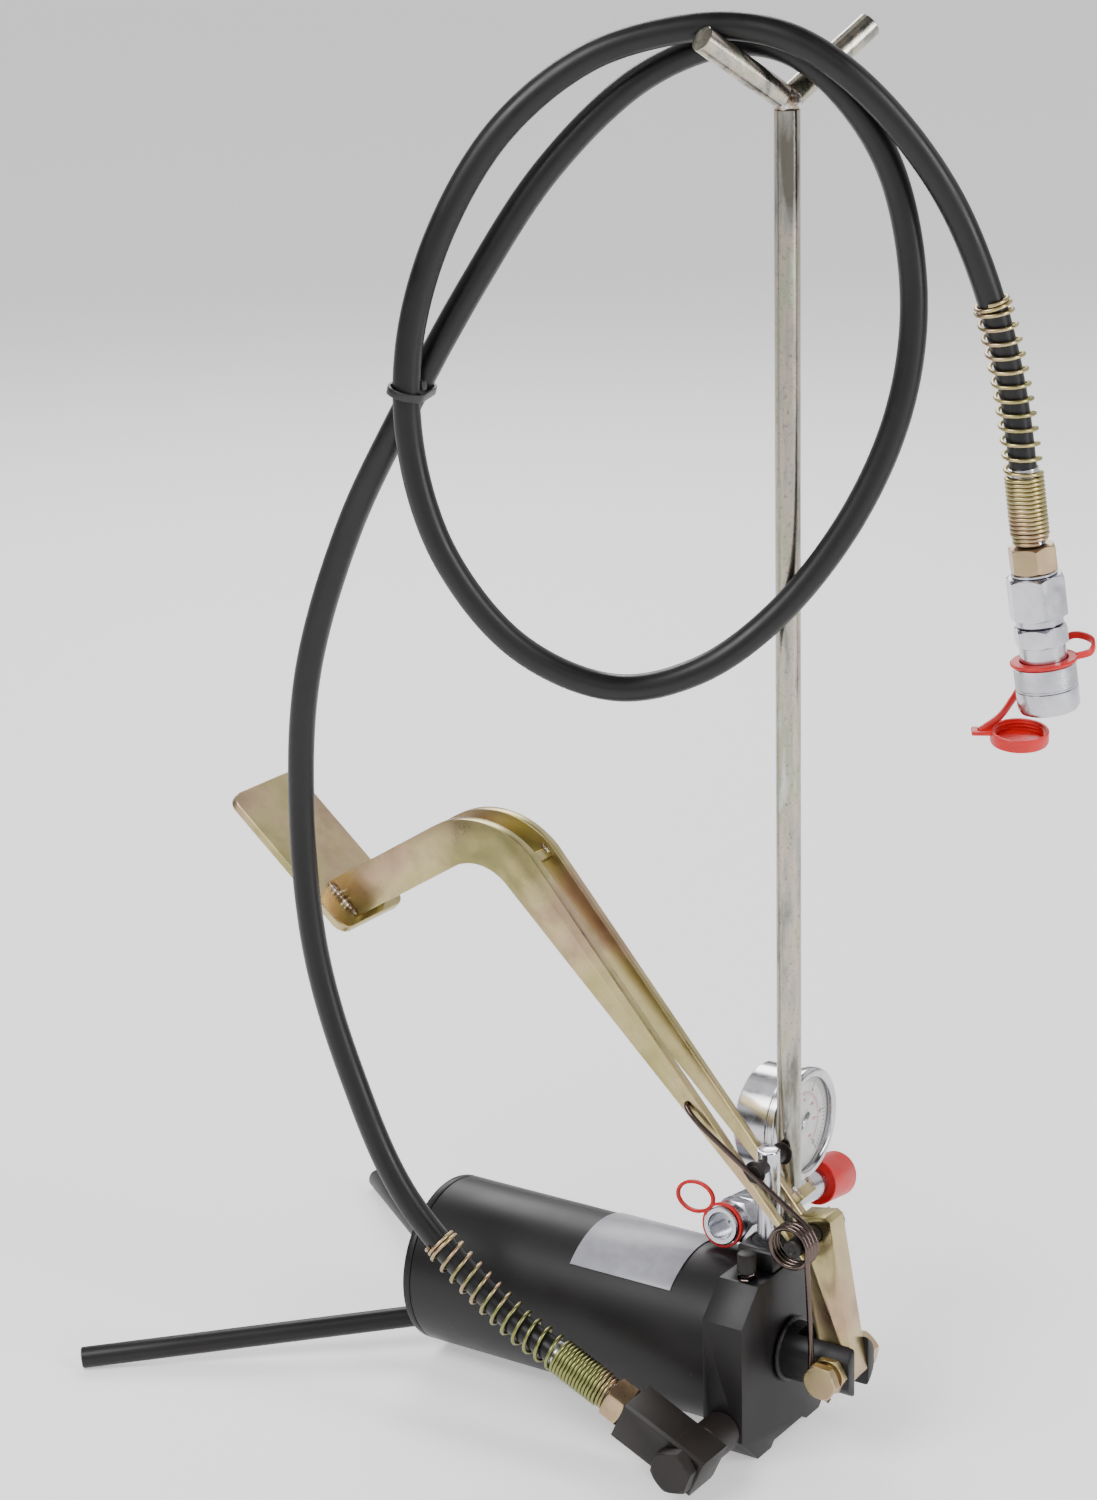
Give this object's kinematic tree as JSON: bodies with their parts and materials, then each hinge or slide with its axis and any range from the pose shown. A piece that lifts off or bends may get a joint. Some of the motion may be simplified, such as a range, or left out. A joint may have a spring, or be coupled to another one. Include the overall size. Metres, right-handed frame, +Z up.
{
  "type": "foot-operated hydraulic pump",
  "caption": "Foot-operated hydraulic pump: round oil tank on splayed rear legs, bent twin-bar pedal lever with return spring, pressure gauge, and a hose hung on a forked stand.",
  "frame": {"origin": "middle of the footprint of everything but the hose, on the floor", "axes": "+Z up; +X forward, from the tank's rear legs to the pump head and its lever; +Y to the gauge's side"},
  "size_m": [0.5035, 0.2914, 0.7506],
  "materials": {
    "head_paint": "satin black paint, worn to bare metal on edges",
    "tank_paint": "satin black paint",
    "yellow_zinc": "yellow-passivated zinc plate, olive to tan with faint pink and green tints",
    "clear_zinc": "mottled zinc plate with faint yellow and pink streaks",
    "bright_steel": "bright nickel-plated steel",
    "stainless": "polished stainless steel",
    "black_oxide": "black oxide, oiled",
    "spring_steel": "dark tempered spring wire",
    "hose_rubber": "semi-matt black, faint lengthwise sheen",
    "seal_rubber": "matt black",
    "red_plastic": "moulded red, slightly glossy",
    "dial_white": "matt white print",
    "window": "clear, with a liquid line",
    "label_silver": "silver-grey film, no text",
    "tie_plastic": "black nylon",
    "brass": "bare"
  },
  "bodies": {
    "pump": {"pump_head": "head_paint", "head_seal_ring": "seal_rubber", "reservoir_tube": "tank_paint", "reservoir_end_cap": "tank_paint", "filler_plug": "black_oxide", "reservoir_label": "label_silver", "intake_strainer": "brass", "leg_near": "tank_paint", "leg_far": "tank_paint", "top_block": "head_paint", "plunger_seal": "seal_rubber", "plunger_wiper": "seal_rubber", "suction_spring": "spring_steel", "delivery_spring": "spring_steel", "release_spring": "spring_steel", "clevis_boss": "head_paint", "clevis_bolt": "yellow_zinc", "clevis_jam_nut": "yellow_zinc", "clevis_locknut": "yellow_zinc", "stand_rod": "clear_zinc", "fork_knuckle": "clear_zinc", "fork_stub_near": "clear_zinc", "fork_stub_far": "clear_zinc", "port_adapter": "black_oxide", "hose_block": "black_oxide", "banjo_bolt": "black_oxide", "hose_nut_pump": "yellow_zinc", "hose": "hose_rubber", "guard_spring_pump": "yellow_zinc", "guard_spring_free": "yellow_zinc", "cable_tie": "tie_plastic", "hose_nut_free": "yellow_zinc", "coupler_adapter": "bright_steel", "coupler_body": "bright_steel", "gauge_tee": "bright_steel", "gauge_case": "stainless", "gauge_bezel": "stainless", "gauge_glass": "window", "gauge_dial": "dial_white", "gauge_fill_plug": "seal_rubber", "tee_coupler": "bright_steel", "tee_cap": "red_plastic", "tee_strap": "red_plastic"},
    "link": {"link": "yellow_zinc"},
    "lever": {"lever_bar_near": "yellow_zinc", "lever_bar_far": "yellow_zinc", "lever_spacer_heel": "yellow_zinc", "lever_spacer_bend": "yellow_zinc", "pedal_plate": "yellow_zinc", "link_pin": "black_oxide", "link_pin_clip": "black_oxide", "return_spring": "spring_steel"},
    "plunger": {"plunger": "bright_steel", "plunger_pin": "black_oxide"},
    "release_valve": {"release_button": "black_oxide"},
    "suction_ball": {"suction_ball": "bright_steel"},
    "delivery_ball": {"delivery_ball": "bright_steel"},
    "needle": {"gauge_needle": "black_oxide"},
    "collar": {"coupler_collar": "bright_steel", "dust_cap": "red_plastic"}
  },
  "joints": [
    {"name": "link_swing", "type": "hinge", "parent": "pump", "child": "link", "pos_m": [0.20286, 0, 0.051], "axis": [0, 1, 0], "range_deg": [0, 6.9]},
    {"name": "pedal_press", "type": "hinge", "parent": "link", "child": "lever", "pos_m": [0.18856, 0, 0.1255], "axis": [0, -1, 0], "range_deg": [0, 27], "stiffness_Nm_per_rad": 4, "springref_deg": -57.3, "deforming": ["return_spring"]},
    {"name": "plunger_stroke", "type": "slide", "parent": "pump", "child": "plunger", "axis": [0, 0, -1], "range_m": [0, 0.0113]},
    {"name": "release_push", "type": "slide", "parent": "pump", "child": "release_valve", "axis": [0, 0, -1], "range_m": [0, 0.003], "stiffness_N_per_m": 800, "springref_m": -0.004, "deforming": ["release_spring"]},
    {"name": "suction_lift", "type": "slide", "parent": "pump", "child": "suction_ball", "axis": [0, 0, 1], "range_m": [0, 0.001], "stiffness_N_per_m": 60, "springref_m": -0.002, "deforming": ["suction_spring"]},
    {"name": "delivery_lift", "type": "slide", "parent": "pump", "child": "delivery_ball", "axis": [0, -1, 0], "range_m": [0, 0.001], "stiffness_N_per_m": 60, "springref_m": -0.002, "deforming": ["delivery_spring"]},
    {"name": "needle_sweep", "type": "hinge", "parent": "pump", "child": "needle", "pos_m": [0.14965, 0.05847, 0.15367], "axis": [-1, 0, 0], "range_deg": [0, 270], "stiffness_Nm_per_rad": 0.0005, "springref_deg": -28.65},
    {"name": "collar_pull", "type": "slide", "parent": "pump", "child": "collar", "axis": [-0.107, -0.0801, 0.991], "range_m": [0, 0.005], "stiffness_N_per_m": 900, "springref_m": -0.004}
  ],
  "couplings": [
    {"joint": "link_swing", "follows": "pedal_press", "ratio": 0.2524},
    {"joint": "plunger_stroke", "follows": "pedal_press", "m_per_rad": 0.02358}
  ]
}
